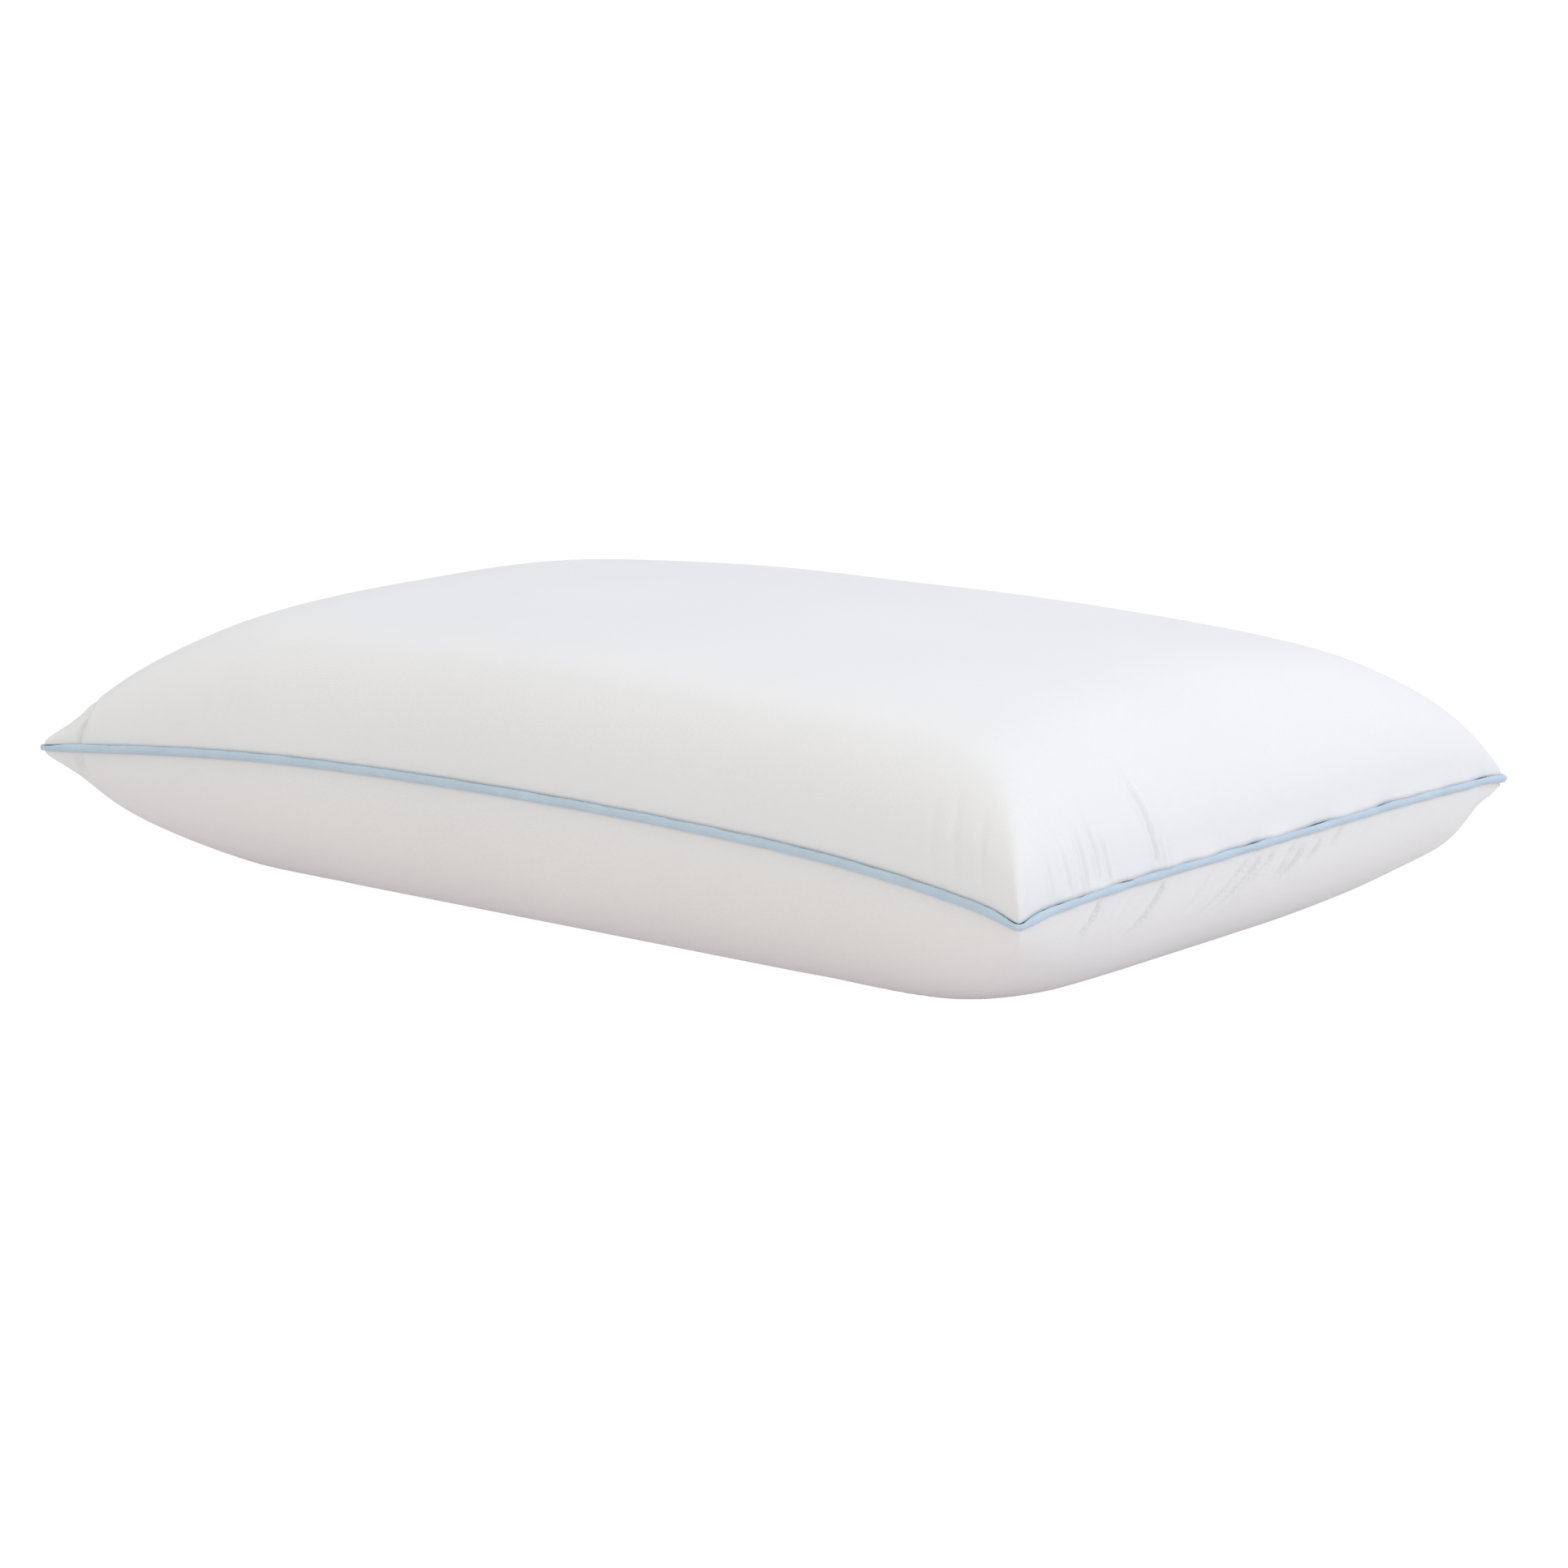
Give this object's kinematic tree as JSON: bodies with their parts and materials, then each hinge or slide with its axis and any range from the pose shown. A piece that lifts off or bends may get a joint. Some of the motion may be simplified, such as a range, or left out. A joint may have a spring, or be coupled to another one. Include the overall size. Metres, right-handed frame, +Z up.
{
  "type": "bed pillow",
  "caption": "Rectangular foam bed pillow in a white knit cover with a piped seam around it, four pointed corners and a zip along the back.",
  "frame": {"origin": "centre of the footprint, on the surface that the pillow lies on", "axes": "+X along the length, +Y towards the long side with the zip, +Z up through the thickness"},
  "size_m": [0.659, 0.4492, 0.15],
  "materials": {
    "cover_knit": "fine white jersey knit, soft sheen",
    "piping_cloth": "light blue bias-cut cloth",
    "piping_cotton": "twisted cotton cord",
    "sewing_thread": "white polyester thread",
    "liner_knit": "thin white tubular knit",
    "memory_foam": "cream viscoelastic foam, fine open cells",
    "zip_tape_cloth": "white woven twill tape",
    "zip_nylon": "white nylon filament",
    "zip_metal": "nickel-plated zinc, satin",
    "label_satin": "blank white satin ribbon"
  },
  "bodies": {
    "pillow": {"cover_top_panel": "cover_knit", "cover_bottom_panel": "cover_knit", "cover_seam_thread": "sewing_thread", "piping_wrap": "piping_cloth", "piping_cord": "piping_cotton", "liner_upper_panel": "liner_knit", "liner_lower_panel": "liner_knit", "liner_seam_thread": "sewing_thread", "foam_core": "memory_foam", "zip_tape_upper": "zip_tape_cloth", "zip_tape_lower": "zip_tape_cloth", "zip_coil_upper": "zip_nylon", "zip_coil_lower": "zip_nylon", "zip_top_stop_upper": "zip_metal", "zip_top_stop_lower": "zip_metal", "zip_bottom_stop": "zip_metal", "zip_topstitch": "sewing_thread", "zip_bar_tack_left": "sewing_thread", "zip_bar_tack_right": "sewing_thread", "care_label": "label_satin"},
    "zip_slider": {"zip_slider_body": "zip_metal"},
    "zip_pull": {"zip_pull_tab": "zip_metal"}
  },
  "joints": [
    {"name": "zip_slide", "type": "slide", "parent": "pillow", "child": "zip_slider", "axis": [1, 0, 0], "range_m": [0, 0.389], "deforming": ["zip_coil_upper", "zip_coil_lower"]},
    {"name": "zip_pull_hinge", "type": "hinge", "parent": "zip_slider", "child": "zip_pull", "pos_m": [-0.1947, 0.1984, 0.066], "axis": [0, 0, 1], "range_deg": [0, 170]}
  ]
}
